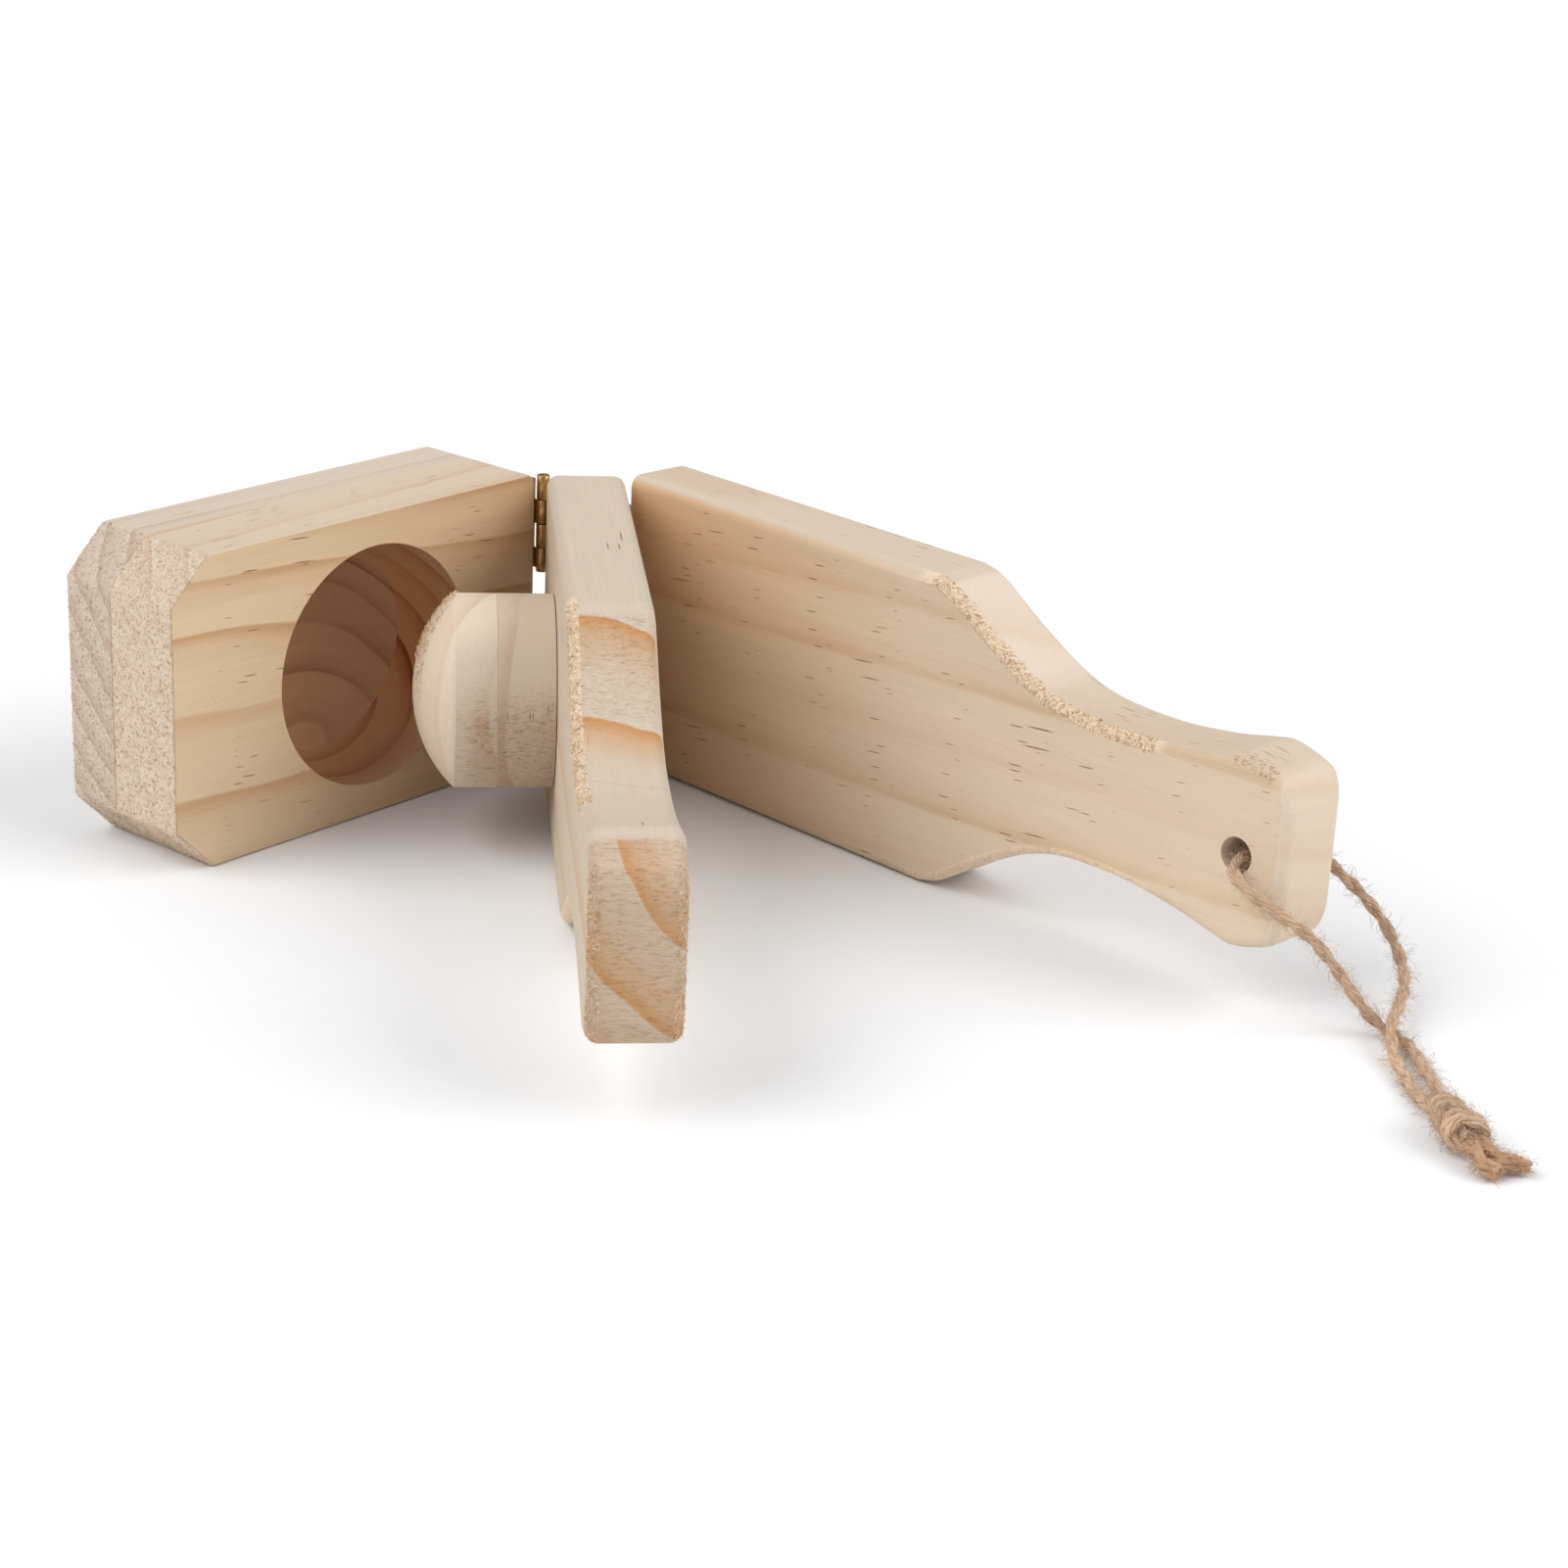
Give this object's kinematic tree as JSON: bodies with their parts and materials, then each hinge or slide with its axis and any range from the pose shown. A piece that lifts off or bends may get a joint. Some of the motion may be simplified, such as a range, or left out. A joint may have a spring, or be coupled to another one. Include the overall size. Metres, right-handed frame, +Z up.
{
  "type": "plantain press",
  "caption": "Hinged wooden press for flattening fried plantain or pressing it into cups: a cup block, a paddle with a plunger and a plain paddle with a cord loop.",
  "frame": {"origin": "on the middle paddle's lower long edge, midway through its thickness and straight under the plunger's axis; the three boards stand on their long edges on z = 0", "axes": "+Z up; -Y along the middle paddle towards the end of its handle; -X towards the cup block, +X towards the plain paddle"},
  "size_m": [0.298, 0.2652, 0.0761],
  "materials": {
    "block_pine": "planed, unfinished",
    "paddle_pine": "planed, unfinished",
    "plunger_pine": "turned, unfinished",
    "brass": "dull polished",
    "jute": "twisted two-ply cord"
  },
  "bodies": {
    "middle_paddle": {"middle_paddle": "paddle_pine", "plunger_base": "plunger_pine", "plunger_tip": "plunger_pine", "cup_hinge_lower_fixed_leaf": "brass", "cup_hinge_lower_pin": "brass", "cup_hinge_lower_fixed_screw_1": "brass", "cup_hinge_lower_fixed_screw_2": "brass", "cup_hinge_upper_fixed_leaf": "brass", "cup_hinge_upper_pin": "brass", "cup_hinge_upper_fixed_screw_1": "brass", "cup_hinge_upper_fixed_screw_2": "brass", "plain_hinge_lower_fixed_leaf": "brass", "plain_hinge_lower_pin": "brass", "plain_hinge_lower_fixed_screw_1": "brass", "plain_hinge_lower_fixed_screw_2": "brass", "plain_hinge_upper_fixed_leaf": "brass", "plain_hinge_upper_pin": "brass", "plain_hinge_upper_fixed_screw_1": "brass", "plain_hinge_upper_fixed_screw_2": "brass"},
    "cup_block": {"cup_block_inner_board": "block_pine", "cup_block_outer_board": "block_pine", "cup_hinge_lower_moving_leaf": "brass", "cup_hinge_lower_moving_screw_1": "brass", "cup_hinge_lower_moving_screw_2": "brass", "cup_hinge_upper_moving_leaf": "brass", "cup_hinge_upper_moving_screw_1": "brass", "cup_hinge_upper_moving_screw_2": "brass"},
    "plain_paddle": {"plain_paddle": "paddle_pine", "plain_hinge_lower_moving_leaf": "brass", "plain_hinge_lower_moving_screw_1": "brass", "plain_hinge_lower_moving_screw_2": "brass", "plain_hinge_upper_moving_leaf": "brass", "plain_hinge_upper_moving_screw_1": "brass", "plain_hinge_upper_moving_screw_2": "brass", "cord_front_strand": "jute", "cord_back_strand": "jute", "cord_knot": "jute", "cord_tail_near": "jute", "cord_tail_far": "jute"}
  },
  "joints": [
    {"name": "cup_block_hinge", "type": "hinge", "parent": "middle_paddle", "child": "cup_block", "pos_m": [-0.01055, 0.0559, 0.038], "axis": [0, 0, 1], "range_deg": [-64, 46.4]},
    {"name": "plain_paddle_hinge", "type": "hinge", "parent": "middle_paddle", "child": "plain_paddle", "pos_m": [0.00995, 0.0559, 0.038], "axis": [0, 0, 1], "range_deg": [-35.5, 84]}
  ]
}
